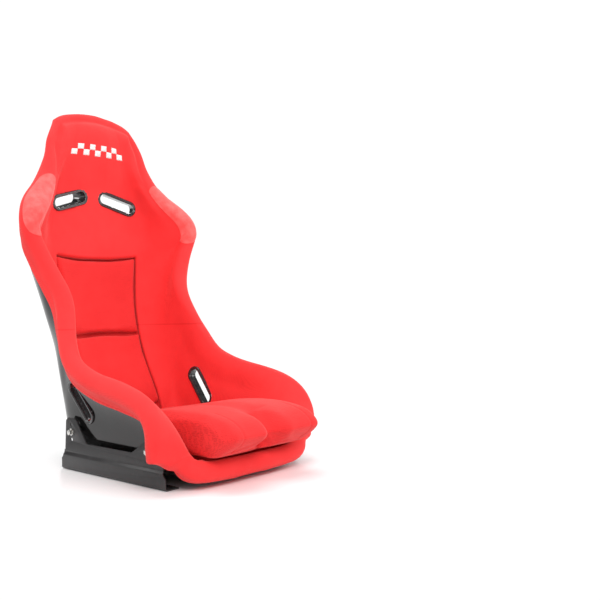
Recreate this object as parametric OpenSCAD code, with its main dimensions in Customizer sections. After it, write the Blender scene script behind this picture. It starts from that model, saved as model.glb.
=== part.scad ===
// Fixed-back racing bucket seat on a pair of side mounting brackets.
// The seat faces -Y, +Z is up and the occupant's right hand is on the -X side.
// The origin is the middle of the four floor-bolt slots, on the underside of the bracket feet.

/* [Bucket] */
// Thickness of the moulded shell
shell_t = 5; // [4:0.5:6]
// Thickness of shell and padding together on the side bolsters
bolster_t = 38; // [36:1:42]
// Thickness of shell and padding together in the middle of the back
back_t = 50; // [46:1:54]
// Thickness of the fabric roll on the outside of the rim
roll_t = 8; // [6:1:10]
// How far the padded roll stands out past the shell's edge
roll_out = 20; // [16:1:22]

/* [Cushions] */
// Half of the seat cushion's width
cushion_half_w = 160; // [150:1:161]
// Height of the cushion's middle above the floor
cushion_top = 150; // [140:1:156]
// How far the two thigh lobes reach in front of the seat's origin
cushion_reach = 338; // [326:1:342]
// Thickness of each loose back pad
pad_t = 20; // [14:1:24]

/* [Harness slots] */
// Overall length of a slot trim ring
ring_len = 126; // [110:1:130]
// Overall width of a slot trim ring
ring_w = 44; // [40:1:48]
// Width of the ring's band around the opening
ring_band = 9; // [7:1:11]
// Distance of each shoulder slot's middle from the centre plane
shoulder_slot_x = 82; // [78:1:88]
// Height of the shoulder slots
shoulder_slot_z = 688; // [680:1:696]

/* [Mounting brackets] */
// Thickness of the bracket steel
bracket_t = 3; // [2.5:0.5:4]
// Length of each bracket's foot
foot_len = 384; // [370:2:400]
// Width of the foot's flange
flange_w = 40; // [36:1:44]
// Distance between a bracket's front and rear seat bolts
bolt_pitch = 290; // [288:1:292]
// Width of the slots in the feet
slot_w = 9; // [8.5:0.5:11]
// Length of the slots in the feet
slot_len = 24; // [20:1:28]
// Distance between a foot's front and rear slots
slot_pitch = 330; // [300:2:340]

/* [Hidden] */

red = "#e0202a";
patch_red = "#e8474f";
deep_red = "#c81a24";
gloss_black = "#0c0c0e";
trim_black = "#18181a";
steel_black = "#202224";

// ---- The bucket surface: the outer face of the shell ----
// One row per station, from the front lip back along the floor and up to the head:
// spine y, spine z, rim x, rim y, rim z, squareness of the section, angle that the wall reaches.
STATIONS = [
    [-250,  20, 243, -188,  84, 4.5, 88],
    [-215,  12, 247, -190, 120, 4.8, 90],
    [-170,   9, 249, -172, 157, 5.0, 90],
    [-110,   9, 250, -125, 183, 5.0, 90],
    [ -40,   9, 250,  -60, 198, 5.0, 90],
    [  40,   9, 250,    5, 211, 5.0, 90],
    [ 115,   9, 249,   62, 229, 5.0, 90],
    [ 190,  12, 245,  112, 258, 4.6, 90],
    [ 238,  48, 236,  147, 304, 3.8, 89],
    [ 259, 115, 222,  173, 358, 3.2, 86],
    [ 293, 200, 214,  193, 421, 2.8, 82],
    [ 333, 290, 230,  213, 480, 2.4, 78],
    [ 360, 380, 254,  226, 530, 2.2, 74],
    [ 373, 460, 276,  232, 578, 2.1, 71],
    [ 376, 535, 281,  236, 618, 2.0, 70],
    [ 373, 605, 262,  256, 660, 2.0, 70],
    [ 367, 675, 220,  285, 702, 2.0, 70],
    [ 361, 745, 182,  305, 748, 2.0, 70],
    [ 354, 810, 154,  314, 798, 2.0, 68],
    [ 346, 866, 140,  321, 840, 2.0, 66],
    [ 338, 911, 113,  330, 884, 2.0, 60]
];
last = len(STATIONS) - 1;

// Station numbers of the places where one piece ends and the next begins
lip_s = 1;
waist_s = 9.5;
crease_s = 14;
lumbar_s = 11.5;
seat_end_s = 8.5;
shoulder_s = 16.5;
arch_s = 17.4;
ds = 0.5;
dt = 1 / 12;
insert_t = 5 * dt;

// Smooth curve through the stations: the control points of a cubic B-spline that passes through them
function padded(p) = concat([2 * p[0] - p[1]], p, [2 * p[len(p) - 1] - p[len(p) - 2]]);
function knots(p) = let (e = padded(p)) [for (i = [1:len(p)]) (e[i - 1] + 4 * e[i] + e[i + 1]) / 6];
function fit(p, n) = n == 0 ? p : fit(p + (STATIONS - knots(p)), n - 1);
CONTROL = padded(fit(STATIONS, 12));
function station(s) =
    let (i = min(floor(s), last - 1), f = s - i, g = 1 - f)
    (g * g * g * CONTROL[i] + (3 * f * f * f - 6 * f * f + 4) * CONTROL[i + 1]
        + (3 * g * g * g - 6 * g * g + 4) * CONTROL[i + 2] + f * f * f * CONTROL[i + 3]) / 6;

// A section is part of a superellipse: across is its x, rise runs from 0 on the spine to 1
function reach(a, n) = pow(pow(cos(a), n) + pow(sin(a), n), -1 / n);
function across(a, n) = reach(a, n) * sin(a);
function rise(a, n) = 1 - reach(a, n) * cos(a);

// Point of the shell's outer face: s along the seat, t from -1 on the right rim to 1 on the left
function outer(s, t) =
    let (v = station(s), n = v[5], top = min(v[6], 90), a = min(abs(t) * top, 90),
         x = across(a, n) / across(top, n), g = rise(a, n) / rise(top, n))
    [sign(t) * v[2] * x * (1 - flare(s, v[2]) * (1 - pow(g, 5))),
        v[0] + (v[3] - v[0]) * g, v[1] + (v[4] - v[1]) * g];
// The walls of the seat stand straight up from the floor and flare out near the rim
floor_x = 200;
function flare(s, rim_x) = max(1 - floor_x / rim_x, 0) * (1 - smooth((s - 8) / 3));
function unit(v) = v / norm(v);
// Direction from the shell towards the occupant
function inward(s, t) =
    let (e = 0.02, s0 = max(s - 5 * e, 0), s1 = min(s + 5 * e, last), t0 = max(t - e, -1), t1 = min(t + e, 1))
    unit(cross(outer(s, t1) - outer(s, t0), outer(s1, t) - outer(s0, t)));
function at(s, t, h) = outer(s, t) + h * inward(s, t);

function steps(from, to, step) =
    let (n = round(abs(to - from) / step)) [for (i = [0:n]) from + (to - from) * i / n];
function smooth(x) = let (c = min(max(x, 0), 1)) c * c * (3 - 2 * c);
function bump(x, middle, half) = smooth(1 - abs(x - middle) / half);

// Thickness of shell and padding at the rim: fuller over the shoulders, thinner around the head
function edge_t(s) = bolster_t + shoulder_fill * bump(s, 15.2, 2.4) - head_taper * smooth((s - 16.8) / 1.8);
// The padding is thinner on the side walls, and around the shoulder slots
lap_dip = 20;
slot_dip = 16;
function dip(s, t) =
    lap_dip * smooth((s - 1.5) / 3) * smooth((10 - s) / 2)
        * smooth((abs(t) - 0.45) / 0.2) * smooth((1 - abs(t)) / 0.14)
    + slot_dip * bump(s, 16.3, 2.2) * smooth((0.8 - abs(t)) / 0.25);
// Thickness of shell and padding: full in the middle, thinner on the bolsters, rounded off around the head
function padding(s, t) =
    let (full = bolster_t + (back_t - bolster_t) * min(max((0.5 - abs(t)) / 0.3, 0), 1),
         fill = edge_t(s) - bolster_t,
         gap = min((1 - abs(t)) * head_half, (last - s) * head_step) / head_round,
         near = 1 - sqrt(1 - pow(1 - min(max(gap, 0), 1), 2)))
    (fill > 0 ? full + fill * smooth((abs(t) - 0.5) / 0.35) : full + (edge_t(s) - full) * near) - dip(s, t);
shoulder_fill = 20;
head_taper = 20;
head_round = 55;
head_half = 160;
head_step = 48;

// ---- Solids from grids of points ----
// Closed solid between two grids of the same size: low faces away from the occupant, high faces the
// occupant. Cells on the two sides of the centre plane are split into mirror-image triangles.
module slab(low, high) {
    rows = len(low);
    cols = len(low[0]);
    top = rows * cols;
    points = concat([for (row = low) each row], [for (row = high) each row]);
    function id(i, j) = i * cols + j;
    faces = concat(
        [for (i = [0:rows - 2], j = [0:cols - 2])
            let (a = id(i, j), b = id(i, j + 1), c = id(i + 1, j + 1), d = id(i + 1, j))
            each low[i][j][0] + low[i][j + 1][0] < 0
                ? [[a, b, d], [b, c, d], [top + a, top + d, top + b], [top + b, top + d, top + c]]
                : [[a, b, c], [a, c, d], [top + a, top + c, top + b], [top + a, top + d, top + c]]],
        [for (i = [0:rows - 2], j = [0, cols - 1]) each
            edge_pair(id(i, j), id(i + 1, j), top, j > 0)],
        [for (j = [0:cols - 2], i = [0, rows - 1]) each
            low[i][j][0] + low[i][j + 1][0] < 0
                ? edge_pair(id(i, j + 1), id(i, j), top, i > 0)
                : edge_pair(id(i, j), id(i, j + 1), top, i == 0)]);
    polyhedron(points, faces);
}
// The two triangles of a rim cell, split from the high end of a to the low end of b
function edge_pair(a, b, top, flip) = flip
    ? [[a, top + a, b], [top + a, top + b, b]]
    : [[a, b, top + a], [b, top + b, top + a]];

// Piece of padding that follows the bucket between stations s0 and s1 and positions t0 and t1
module layer(s0, s1, t0, t1, low, high) {
    ss = steps(s0, s1, ds);
    ts = steps(t0, t1, dt);
    slab([for (s = ss) [for (t = ts) at(s, t, low(s, t))]],
         [for (s = ss) [for (t = ts) at(s, t, high(s, t))]]);
}

// ---- The padded roll around the rim ----
// Width of the roll's band on the outside of the shell
function band_w(s) = 50 + 40 * smooth((s - 12) / 3.5) + 36 * (1 - smooth(s - 1.6));
function band_t(s) = 1 - band_w(s) / (norm(outer(s, 1) - outer(s, 0.9)) * 10);
arch_t = band_t(shoulder_s);
// Each sample holds the rim's own s and t, then the s and t where the band ends on the shell
function lip_samples() = [for (t = steps(0, 1, dt)) [0, t, lip_s, t * band_t(lip_s)]];
function side_samples() = [for (s = steps(0, shoulder_s, ds))
    let (q = lip_s + s * (shoulder_s - lip_s) / shoulder_s) [s, 1, q, band_t(q)]];
function arch_point(k) = [shoulder_s + (arch_s - shoulder_s) * sin(90 * k), arch_t * cos(90 * k)];
side_share = 0.4;
function head_samples() = concat(
    [for (s = steps(shoulder_s, last, ds))
        concat([s, 1], arch_point(side_share * (s - shoulder_s) / (last - shoulder_s)))],
    [for (t = steps(1 - dt, 0, dt)) concat([last, t], arch_point(1 - (1 - side_share) * t))]);

// Direction in which the roll stands out past the rim, square to the rim; it turns gradually at the corners
function outwards(s, t) =
    let (e = 0.05, p = outer(s, t), across_seat = unit(p - outer(s, t - e)),
         along = unit(outer(min(s + e, last), t) - outer(max(s - e, 0), t)),
         ahead = square_to(along, across_seat))
    unit(share(t > 0.999 ? 1 : smooth((t - 0.7) / 0.3), square_to(across_seat, along))
        + share(smooth((s - last + 0.9) / 0.9), ahead) + share(1 - smooth(s / 0.9), -ahead));
// The part of v that is square to the direction w
function square_to(v, w) = v - (v * w) * w;
function share(weight, v) = weight > 0 ? weight * unit(v) : [0, 0, 0];
bands = 4;
bulges = 6;
band_gap = 1.8;
rim_gap = 0.3;
// Closed outline of the roll at one sample, from the band's end around the rim and back
function roll(q) =
    let (n = inward(q[0], q[1]), d = outwards(q[0], q[1]), e = outer(q[0], q[1]),
         full = edge_t(q[0]), mid = (full - roll_t) / 2, half = (full + roll_t) / 2,
         on = function (k, h) at(q[0] + (q[2] - q[0]) * k, q[1] + (q[3] - q[1]) * k, h))
    concat(
        [for (k = [bands:-1:1]) on(k / bands, k == bands ? -1 : -roll_t)],
        [for (a = steps(-90, 90, 180 / bulges)) e + d * roll_out * cos(a) + n * (mid + half * sin(a))],
        [e + d * rim_gap + n * shell_t, e + d * rim_gap],
        [for (k = [1:bands]) on(k / bands, -band_gap)]);
function flip_x(p) = [-p[0], p[1], p[2]];
// Triangles that close the roll's end: strips across the band, then fans across the bulge
function roll_end() =
    let (n = 2 * bands + bulges + 3, mid = bands + bulges / 2, low = n - 1 - bands, high = low - 1)
    concat(
        [for (k = [0:bands - 1]) each [[k, k + 1, n - 2 - k], [k, n - 2 - k, n - 1 - k]]],
        [for (k = [bands:mid - 1]) [k, k + 1, low]],
        [[mid, high, low]],
        [for (k = [mid:bands + bulges - 1]) [k, k + 1, high]]);
// Solid through a list of closed outlines; end holds the faces that close one outline
module loft(outlines, end) {
    count = len(outlines);
    n = len(outlines[0]);
    sides = [for (i = [0:count - 2], j = [0:n - 1])
        let (a = i * n + j, b = i * n + (j + 1) % n, c = b + n, d = a + n)
        each outlines[i][0][0] + outlines[i + 1][0][0] < 0
            ? [[a, b, d], [b, c, d]]
            : [[a, b, c], [a, c, d]]];
    first_end = [for (f = end) [for (k = [len(f) - 1:-1:0]) f[k]]];
    last_end = [for (f = end) [for (k = f) (count - 1) * n + k]];
    polyhedron([for (o = outlines) each o], concat(sides, first_end, last_end));
}
module roll_piece(samples) {
    loft([for (q = samples) roll(q)], roll_end());
}
// Roll across the centre plane: the samples start there (the lip) or end there (the head)
module both_halves(samples, ends_at_centre = false) {
    half = [for (q = samples) roll(q)];
    n = len(half);
    shared = ends_at_centre ? [n - 2:-1:0] : [n - 1:-1:1];
    other = [for (i = shared) [for (p = half[i]) flip_x(p)]];
    loft(ends_at_centre ? concat(half, other) : concat(other, half), roll_end());
}

// ---- Harness slots ----
// Places a slot: [middle, direction out of the seat, turn of its long side]
shoulder_slot = [[shoulder_slot_x, 333, shoulder_slot_z], [0.30, 0.95, 0.05], 17];
lap_slot = [[198, 114, 170], [1, 0.04, -0.10], 51];
depth = 70;
// Moves children so that their z axis runs out of the seat and their x axis lies along the slot
module at_slot(slot) {
    w = unit(slot[1]);
    side = abs(w[0]) > 0.9 ? unit(cross([0, 0, 1], w)) : unit(cross(w, [0, 0, 1]));
    up = cross(w, side);
    translate(slot[0])
        multmatrix([
            [side[0], up[0], w[0], 0],
            [side[1], up[1], w[1], 0],
            [side[2], up[2], w[2], 0]])
            rotate(slot[2]) children();
}
module stadium(length, width) {
    square([length - width, width], center = true);
    for (end = [-1, 1])
        translate([end * (length - width) / 2, 0])
            circle(d = width, $fn = 48);
}
module slot_hole(slot, length) {
    at_slot(slot)
        translate([0, 0, -depth / 2])
            linear_extrude(depth) stadium(length + 0.6, ring_w + 0.6);
}
module all_slot_holes() {
    for (side = [0, 1]) mirror([side, 0, 0]) {
        slot_hole(shoulder_slot, ring_len);
        slot_hole(lap_slot, lap_len);
    }
}
lap_len = 124;
// Ring from one depth to another, along the direction out of the seat
module bezel(slot, length, from, to) {
    color(trim_black)
        at_slot(slot)
            translate([0, 0, from])
                linear_extrude(to - from)
                    difference() {
                        stadium(length, ring_w);
                        stadium(length - 2 * ring_band, ring_w - 2 * ring_band);
                    }
}
bezel_half = 24;
bezel_gap = 0.2;

// ---- Shell and fixed padding ----
module shell() {
    color(gloss_black)
        difference() {
            layer(0, last, -1, 1, function (s, t) 0, function (s, t) shell_t);
            all_slot_holes();
            for (p = seat_bolts, side = [-1, 1])
                translate([side * 200, p[0], p[1]])
                    rotate([0, 90, 0]) cylinder(d = nut_d, h = 40, center = true, $fn = 48);
        }
}
module head_pad() {
    color(red)
        difference() {
            layer(crease_s, last, -1, 1, function (s, t) shell_t, function (s, t) padding(s, t));
            all_slot_holes();
        }
}
module side_bolster() {
    color(red)
        layer(waist_s, crease_s, insert_t, 1, function (s, t) shell_t, function (s, t) padding(s, t));
}
module side_bolster_left() { side_bolster(); }
module side_bolster_right() { mirror([1, 0, 0]) side_bolster(); }
module thigh_bolster() {
    color(red)
        difference() {
            layer(0, waist_s, insert_t, 1, function (s, t) shell_t, function (s, t) padding(s, t));
            slot_hole(lap_slot, lap_len);
            for (p = seat_bolts)
                translate([200, p[0], p[1]])
                    rotate([0, 90, 0]) cylinder(d = nut_head_d + 1, h = 2 * nut_in, center = true, $fn = 48);
        }
}
module thigh_bolster_left() { thigh_bolster(); }
module thigh_bolster_right() { mirror([1, 0, 0]) thigh_bolster(); }
base_t = 22;
// The base pads stop just short of the padding around them
base_s_gap = 0.02;
base_edge_t = insert_t - 0.003;
base_glue = 0.4;
module base_pad(s0, s1) {
    color(deep_red)
        layer(s0, s1, -base_edge_t, base_edge_t, function (s, t) shell_t + base_glue, function (s, t) base_t);
}
module seat_base_pad() { base_pad(base_s_gap, seat_end_s); }
module back_base_pad() { base_pad(seat_end_s, crease_s - base_s_gap); }

// ---- Fabric roll around the rim ----
module front_lip() { color(red) both_halves(lip_samples()); }
module rim_trim_left() { color(red) roll_piece(side_samples()); }
module rim_trim_right() { color(red) mirror([1, 0, 0]) roll_piece(side_samples()); }
module head_cover() {
    color(red) both_halves(head_samples(), ends_at_centre = true);
}
// Suede patch over the shoulder, a thin skin on the roll
patch_lift = 1.1;
patch_t = 1.2;
patch_s = [13, 16.5];
patch_inner_t = [0.96, 0.92];
function patch_outline(s, h) =
    let (n = inward(s, 1), d = outwards(s, 1), e = outer(s, 1),
         full = edge_t(s), mid = (full - roll_t) / 2, half = (full + roll_t) / 2 + h)
    concat(
        [for (a = steps(-60, 90, 30)) e + d * (roll_out + h) * cos(a) + n * (mid + half * sin(a))],
        [for (t = patch_inner_t) at(s, t, padding(s, t) + h)]);
module shoulder_patch() {
    color(patch_red)
        slab([for (s = steps(patch_s[0], patch_s[1], ds)) patch_outline(s, patch_lift + patch_t)],
             [for (s = steps(patch_s[0], patch_s[1], ds)) patch_outline(s, patch_lift)]);
}
module shoulder_patch_left() { shoulder_patch(); }
module shoulder_patch_right() { mirror([1, 0, 0]) shoulder_patch(); }

// ---- Loose pads ----
pad_gap = 0.5;
strip_t = 2.4;
pad_low = base_t + strip_t + pad_gap;
// Loose pad on the back: smaller than its bay, narrower underneath so that it pulls straight out
edge_gap = 0.07;
under = 0.93;
module loose_pad(s0, s1) {
    mid = (s0 + s1) / 2;
    ss = steps(s0 + edge_gap, s1 - edge_gap, (s1 - s0) / 5);
    ts = steps(-insert_t + 0.006, insert_t - 0.006, insert_t / 5);
    low = [for (s = ss) [for (t = ts) at(mid + (s - mid) * under, t * under, pad_low)]];
    high = [for (s = ss) [for (t = ts)
        at(s, t, pad_low + pad_t * soften(s, s0, s1, 0.2) * soften(t, -insert_t, insert_t, 0.04))]];
    slab(low, high);
}
// 0.6 at either end, rising to 1 within the given distance
function soften(x, from, to, width) = 0.6 + 0.4 * smooth(min(x - from, to - x) / width);
module lumbar_pad() { color(deep_red) loose_pad(8.8, lumbar_s); }
module back_pad() { color(deep_red) loose_pad(lumbar_s, crease_s); }

// Underside of the seat cushion: flat, then resting on the thigh bolsters
function cushion_low(x) =
    let (w = abs(x)) 36 + 28 * smooth((w - 102) / 20) + 0.0175 * pow(max(w - 126, 0), 2);
// Outline of the seat cushion in y and z, seen from the side; lobe is 1 on a thigh lobe
function cushion_outline(x) =
    let (edge = smooth((cushion_half_w - abs(x)) / 24), lobe = smooth(abs(x) / 44) * (0.75 + 0.25 * edge),
         front = -cushion_reach + 42 * (1 - lobe), top = cushion_top + 8 * lobe - 10 * (1 - edge),
         low = cushion_low(x), back = 185 - 20 * (1 - edge))
    [[136, low], [back - 5, low + 28 * edge], [back, max(low + 12, 84)], [back - 3, top - 54], [back - 15, top - 46],
     [100, top - 38], [0, top - 22], [-100, top - 6], [-180, top], [-240, top - 2],
     [front + 42, top - 11], [front + 14, top - 26], [front, top - 44], [front + 8, 100], [front + 30, 84],
     [-268, max(68, low)], [-222, max(67, low)], [-176, low]];
module seat_cushion() {
    w = cushion_half_w;
    xs = [for (side = [-1, 1], x = side < 0 ? [w, w - 4, w - 10, w - 20, w - 32, w - 46, 96, 74, 56, 40, 27, 15, 6]
        : [0, 6, 15, 27, 40, 56, 74, 96, w - 46, w - 32, w - 20, w - 10, w - 4, w]) side * x];
    color(deep_red)
        loft([for (x = xs) let (o = cushion_outline(x))
            [for (i = [len(o) - 1:-1:0]) [x, o[i][0], o[i][1]]]], [[for (i = [0:len(cushion_outline(w)) - 1]) i]]);
}

// Hook-and-loop strips between the loose pads and the pads under them
module strip(s0, s1, t0, t1) {
    slab([for (s = steps(s0, s1, ds)) [for (t = [t0, t1]) at(s, t, base_t + 0.6)]],
         [for (s = steps(s0, s1, ds)) [for (t = [t0, t1]) at(s, t, base_t + strip_t)]]);
}
module seat_fastener_strips() {
    color(trim_black)
        for (side = [-1, 1]) strip(2, 6, side * 3 * dt - dt / 3, side * 3 * dt + dt / 3);
}
module back_fastener_strips() {
    color(trim_black)
        for (side = [-1, 1]) {
            strip(9.5, 11, side * 3 * dt - dt / 3, side * 3 * dt + dt / 3);
            strip(12, 13.5, side * 3 * dt - dt / 3, side * 3 * dt + dt / 3);
        }
}

// ---- Trim rings ----
module shoulder_bezel_front_left() { bezel(shoulder_slot, ring_len, -bezel_half / 2, -bezel_gap); }
module shoulder_bezel_front_right() { mirror([1, 0, 0]) shoulder_bezel_front_left(); }
module shoulder_bezel_rear_left() { bezel(shoulder_slot, ring_len, 0, bezel_half); }
module shoulder_bezel_rear_right() { mirror([1, 0, 0]) shoulder_bezel_rear_left(); }
module lap_bezel_inner_left() { bezel(lap_slot, lap_len, -bezel_half / 2, -bezel_gap); }
module lap_bezel_inner_right() { mirror([1, 0, 0]) lap_bezel_inner_left(); }
module lap_bezel_outer_left() { bezel(lap_slot, lap_len, 0, bezel_half / 2); }
module lap_bezel_outer_right() { mirror([1, 0, 0]) lap_bezel_outer_left(); }

// ---- Side brackets and their fasteners ----
bracket_x = 209;
rear_bolt_y = bolt_pitch / 2 + 8;
seat_bolts = [[rear_bolt_y, 93], [rear_bolt_y - bolt_pitch, 78]];
spare_holes = [[rear_bolt_y, 111], [rear_bolt_y, 75], [rear_bolt_y - bolt_pitch, 58]];
bolt_d = 8;
nut_d = 16;
nut_head_d = 26;
nut_in = 20;
nut_len = 23.6;
jog = 3;
jog_z = 44;
plate_outline = [
    [-186, jog_z + 2], [-162, 62], [-154, 94], [-144, 100], [-124, 98], [-78, 70], [92, 70],
    [130, 120], [140, 126], [166, 127], [175, 120], [181, jog_z + 2]
];
// Cross-section of the foot: flange under the seat, rounded bend, upright and outward jog
function foot_outline() =
    let (r = 7, x = bracket_x + jog)
    concat(
        [[x - flange_w, 0]],
        [for (a = [-90:15:0]) [x - r + r * cos(a), r + r * sin(a)]],
        [[x, jog_z - 8], [bracket_x, jog_z], [bracket_x, jog_z + 4], [bracket_x - bracket_t, jog_z + 4],
         [bracket_x - bracket_t, jog_z - 1], [x - bracket_t, jog_z - 9]],
        [for (a = [0:-15:-90]) [x - r + (r - bracket_t) * cos(a), r + (r - bracket_t) * sin(a)]],
        [[x - flange_w, bracket_t]]);
module side_bracket() {
    color(steel_black)
        difference() {
            union() {
                rotate([90, 0, 0])
                    linear_extrude(foot_len, center = true) polygon(foot_outline());
                translate([bracket_x - bracket_t, 0, 0])
                    rotate([90, 0, 90]) linear_extrude(bracket_t) polygon(plate_outline);
            }
            for (p = concat(seat_bolts, spare_holes))
                translate([bracket_x, p[0], p[1]])
                    rotate([0, 90, 0]) cylinder(d = bolt_d + 0.5, h = 20, center = true, $fn = 48);
            for (end = [-1, 1])
                translate([bracket_x + jog - flange_w / 2, end * slot_pitch / 2, -1])
                    linear_extrude(bracket_t + 2) stadium(slot_len, slot_w);
            for (end = [-1, 1])
                translate([bracket_x + jog, end * (foot_len / 2 + 14), jog_z])
                    rotate([0, 90, 0]) cylinder(r = 22, h = 60, center = true, $fn = 64);
        }
}
module side_bracket_left() { side_bracket(); }
module side_bracket_right() { mirror([1, 0, 0]) side_bracket(); }

// Places children at each seat bolt, with z running outwards from the bracket's outer face
module at_bolts() {
    for (side = [0, 1]) mirror([side, 0, 0])
        for (p = seat_bolts)
            translate([bracket_x, p[0], p[1]]) rotate([0, 90, 0]) children();
}
flat_t = 1.6;
spring_t = 2;
module washer(d, h) {
    difference() {
        cylinder(d = d, h = h, $fn = 48);
        translate([0, 0, -1]) cylinder(d = bolt_d + 0.4, h = h + 2, $fn = 48);
    }
}
module flat_washers() { color("silver") at_bolts() washer(17, flat_t); }
module spring_washers() { color("silver") at_bolts() translate([0, 0, flat_t]) washer(13.5, spring_t); }
module bracket_bolts() {
    color("silver")
        at_bolts() {
            translate([0, 0, flat_t + spring_t]) cylinder(d = 14, h = 5.3, $fn = 6);
            translate([0, 0, -16]) cylinder(d = bolt_d, h = 16.1 + flat_t + spring_t, $fn = 48);
        }
}
// Threaded inserts moulded into the shell: a flange inside the wall and a boss out to the bracket
module shell_nuts() {
    color("silver")
        at_bolts()
            difference() {
                union() {
                    translate([0, 0, -bracket_t - nut_len]) cylinder(d = nut_d - 0.4, h = nut_len, $fn = 48);
                    translate([0, 0, -bracket_t - nut_len]) cylinder(d = nut_head_d, h = 2.5, $fn = 48);
                }
                translate([0, 0, -bracket_t - nut_len - 1]) cylinder(d = bolt_d, h = nut_len + 2, $fn = 48);
            }
}

// ---- Embroidered chequered strips in place of lettering ----
cell = [21, 16];
module emblem(s_mid, h, sense) {
    color("white")
        for (i = [-4:4], j = [0, 1])
            if ((i + j) % 2 == 0) emblem_cell(i, station(s_mid)[1] + (j - 0.5) * cell[1], s_mid, h, sense);
}
// One stitched square that lies on the padding at height z
module emblem_cell(i, z, s_mid, h, sense) {
    v = station(s_mid);
    s_of_z = function (q) s_mid + (q - v[1]) / (station(s_mid + 0.5)[1] - station(s_mid - 0.5)[1]);
    t_of_x = function (x) asin(max(min(x / v[2] * sin(v[6]), 1), -1)) / v[6];
    r = cell / 2 - [0.15, 0.15];
    ss = [s_of_z(z - r[1]), s_of_z(z), s_of_z(z + r[1])];
    ts = [for (k = [-1:0.5:1]) t_of_x(i * cell[0] + k * r[0])];
    near = function (s, t, lift) h(s, t) + sense * lift;
    a = [for (s = ss) [for (t = ts) at(s, t, near(s, t, 0.3))]];
    b = [for (s = ss) [for (t = ts) at(s, t, near(s, t, 1.3))]];
    if (sense > 0) slab(a, b);
    else slab(b, a);
}
module front_emblem() { emblem(18.4, function (s, t) padding(s, t), 1); }
module rear_emblem() { emblem(18.5, function (s, t) -roll_t, -1); }

shell();
head_pad();
side_bolster_left();
side_bolster_right();
thigh_bolster_left();
thigh_bolster_right();
seat_base_pad();
back_base_pad();
front_lip();
rim_trim_left();
rim_trim_right();
head_cover();
shoulder_patch_left();
shoulder_patch_right();
seat_cushion();
lumbar_pad();
back_pad();
seat_fastener_strips();
back_fastener_strips();
shoulder_bezel_front_left();
shoulder_bezel_front_right();
shoulder_bezel_rear_left();
shoulder_bezel_rear_right();
lap_bezel_inner_left();
lap_bezel_inner_right();
lap_bezel_outer_left();
lap_bezel_outer_right();
side_bracket_left();
side_bracket_right();
bracket_bolts();
spring_washers();
flat_washers();
shell_nuts();
front_emblem();
rear_emblem();
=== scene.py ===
"""Looks of a fixed-back racing bucket seat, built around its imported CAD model."""
import math

import bmesh
import bpy
import numpy as np
from mathutils import Matrix, Vector


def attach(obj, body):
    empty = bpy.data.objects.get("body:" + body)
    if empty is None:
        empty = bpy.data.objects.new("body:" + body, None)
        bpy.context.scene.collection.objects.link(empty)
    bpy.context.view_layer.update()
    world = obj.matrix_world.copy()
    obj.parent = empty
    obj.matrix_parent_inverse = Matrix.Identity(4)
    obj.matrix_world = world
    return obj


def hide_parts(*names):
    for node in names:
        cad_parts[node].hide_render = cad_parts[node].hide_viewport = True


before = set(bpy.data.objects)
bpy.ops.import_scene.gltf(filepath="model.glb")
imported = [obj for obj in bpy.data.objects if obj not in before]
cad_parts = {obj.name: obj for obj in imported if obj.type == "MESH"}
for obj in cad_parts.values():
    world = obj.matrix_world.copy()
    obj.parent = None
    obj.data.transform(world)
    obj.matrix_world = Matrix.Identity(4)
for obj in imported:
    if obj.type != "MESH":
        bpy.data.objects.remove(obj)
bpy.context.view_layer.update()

MM = 0.001
SEAT, CUSHION, LUMBAR, BACK = "seat", "cushion", "lumbar", "back"

# ---- The bucket surface, in millimetres, as in the CAD: the outer face of the shell ----
# One row per station: spine y, spine z, rim x, rim y, rim z, squareness, angle that the wall reaches.
STATIONS = np.array([
    [-250, 20, 243, -188, 84, 4.5, 88],
    [-215, 12, 247, -190, 120, 4.8, 90],
    [-170, 9, 249, -172, 157, 5.0, 90],
    [-110, 9, 250, -125, 183, 5.0, 90],
    [-40, 9, 250, -60, 198, 5.0, 90],
    [40, 9, 250, 5, 211, 5.0, 90],
    [115, 9, 249, 62, 229, 5.0, 90],
    [190, 12, 245, 112, 258, 4.6, 90],
    [238, 48, 236, 147, 304, 3.8, 89],
    [259, 115, 222, 173, 358, 3.2, 86],
    [293, 200, 214, 193, 421, 2.8, 82],
    [333, 290, 230, 213, 480, 2.4, 78],
    [360, 380, 254, 226, 530, 2.2, 74],
    [373, 460, 276, 232, 578, 2.1, 71],
    [376, 535, 281, 236, 618, 2.0, 70],
    [373, 605, 262, 256, 660, 2.0, 70],
    [367, 675, 220, 285, 702, 2.0, 70],
    [361, 745, 182, 305, 748, 2.0, 70],
    [354, 810, 154, 314, 798, 2.0, 68],
    [346, 866, 140, 321, 840, 2.0, 66],
    [338, 911, 113, 330, 884, 2.0, 60],
], float)
LAST = len(STATIONS) - 1
LIP_S, WAIST_S, LUMBAR_S, CREASE_S = 1, 9.5, 11.5, 14
SEAT_END_S, SHOULDER_S, ARCH_S = 8.5, 16.5, 17.4
INSERT_T = 5 / 12
SHELL_T, BOLSTER_T, BACK_T, ROLL_T, ROLL_OUT, BASE_T = 5, 38, 50, 8, 20, 22
STRIP_T = 2.4


def extended(p):
    """The points with one more at either end, in line with the last two."""
    return np.vstack([2 * p[0] - p[1], p, 2 * p[-1] - p[-2]])


def fitted_control():
    """Control points of the cubic B-spline that passes through the stations."""
    p = STATIONS.copy()
    for _ in range(12):
        e = extended(p)
        p = p + STATIONS - (e[:-2] + 4 * e[1:-1] + e[2:]) / 6
    return extended(p)


CONTROL = fitted_control()


def station(s):
    i = np.clip(np.floor(s), 0, LAST - 1).astype(int)
    f = (s - i)[..., None]
    g = 1 - f
    return (g ** 3 * CONTROL[i] + (3 * f ** 3 - 6 * f ** 2 + 4) * CONTROL[i + 1]
            + (3 * g ** 3 - 6 * g ** 2 + 4) * CONTROL[i + 2] + f ** 3 * CONTROL[i + 3]) / 6


FLOOR_X = 200


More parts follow.
